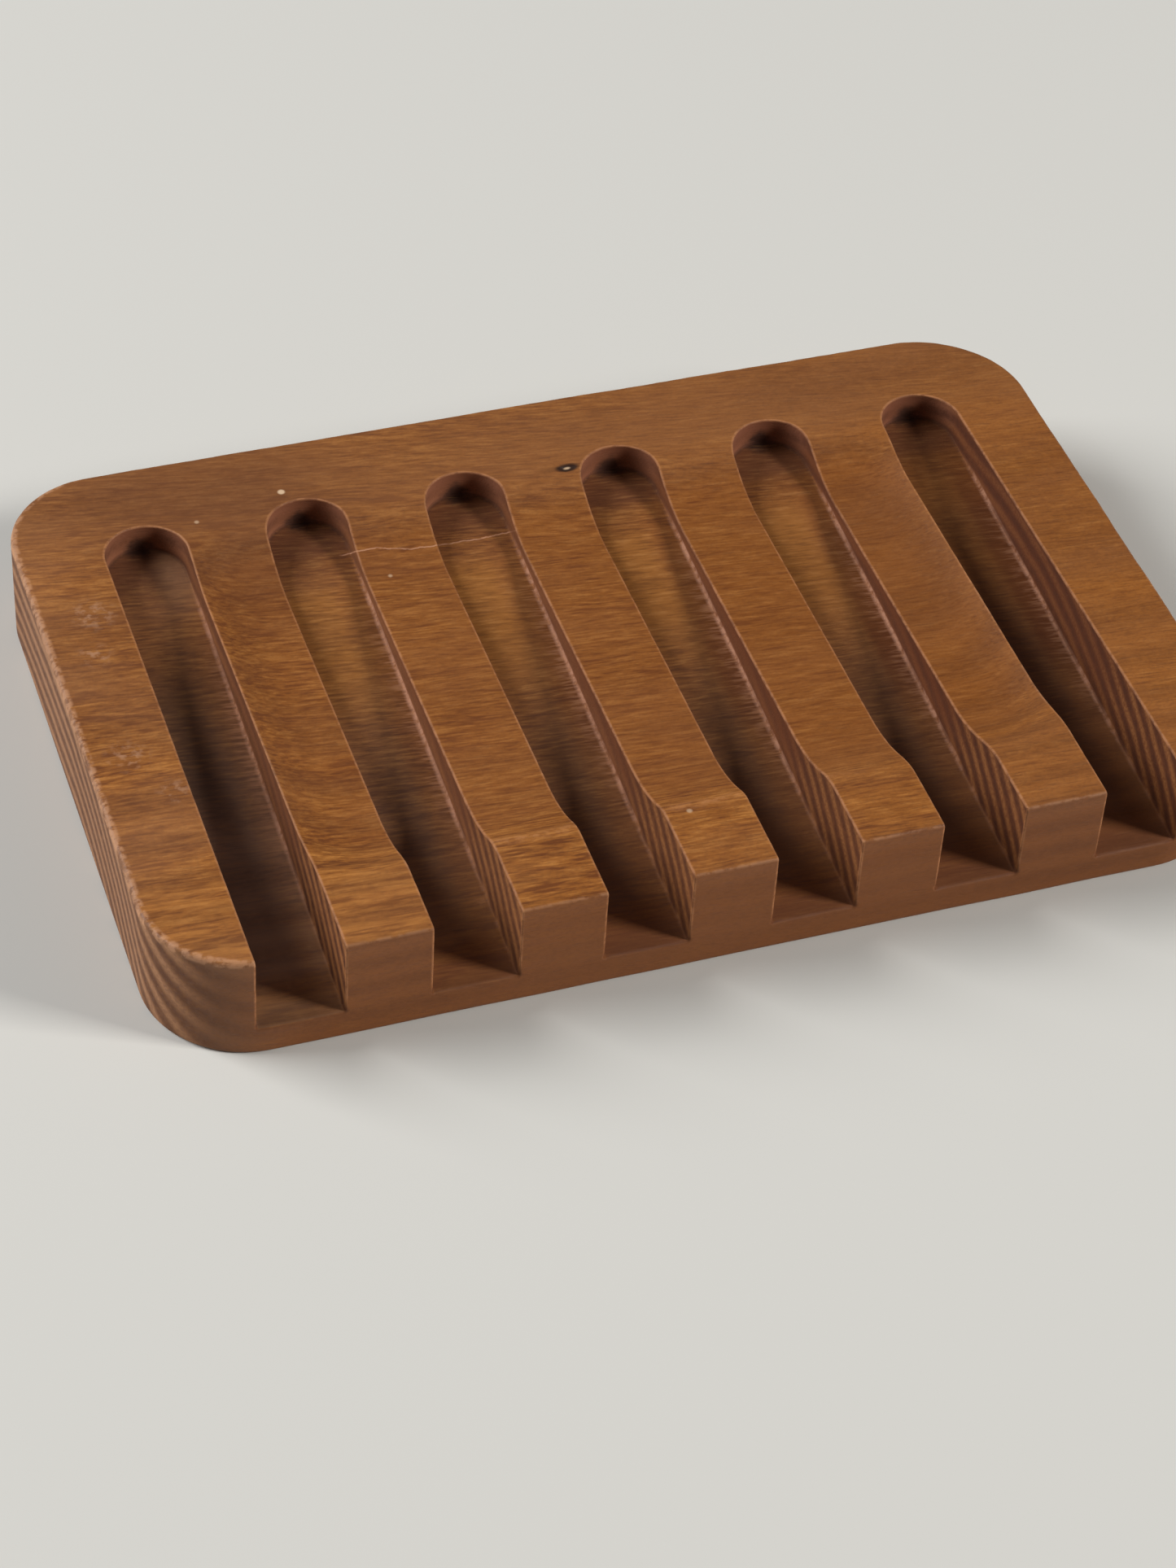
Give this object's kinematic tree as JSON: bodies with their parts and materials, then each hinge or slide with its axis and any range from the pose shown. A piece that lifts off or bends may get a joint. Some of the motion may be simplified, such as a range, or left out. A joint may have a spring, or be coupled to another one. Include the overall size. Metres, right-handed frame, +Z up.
{
  "type": "soap dish",
  "caption": "Rounded wooden draining soap dish carved from one board, with sloping slots open at the front edge under a shallow dished seat for the bar of soap.",
  "frame": {"origin": "middle of the flat underside", "axes": "+X along the board's length and its grain, -Y towards the front edge that the slots drain over, +Z up through the board's thickness"},
  "size_m": [0.124, 0.081, 0.0135],
  "materials": {
    "wood": "oiled, open-pored, satin, worn pale along the edges"
  },
  "bodies": {
    "root": {"dish_board": "wood"}
  },
  "joints": []
}
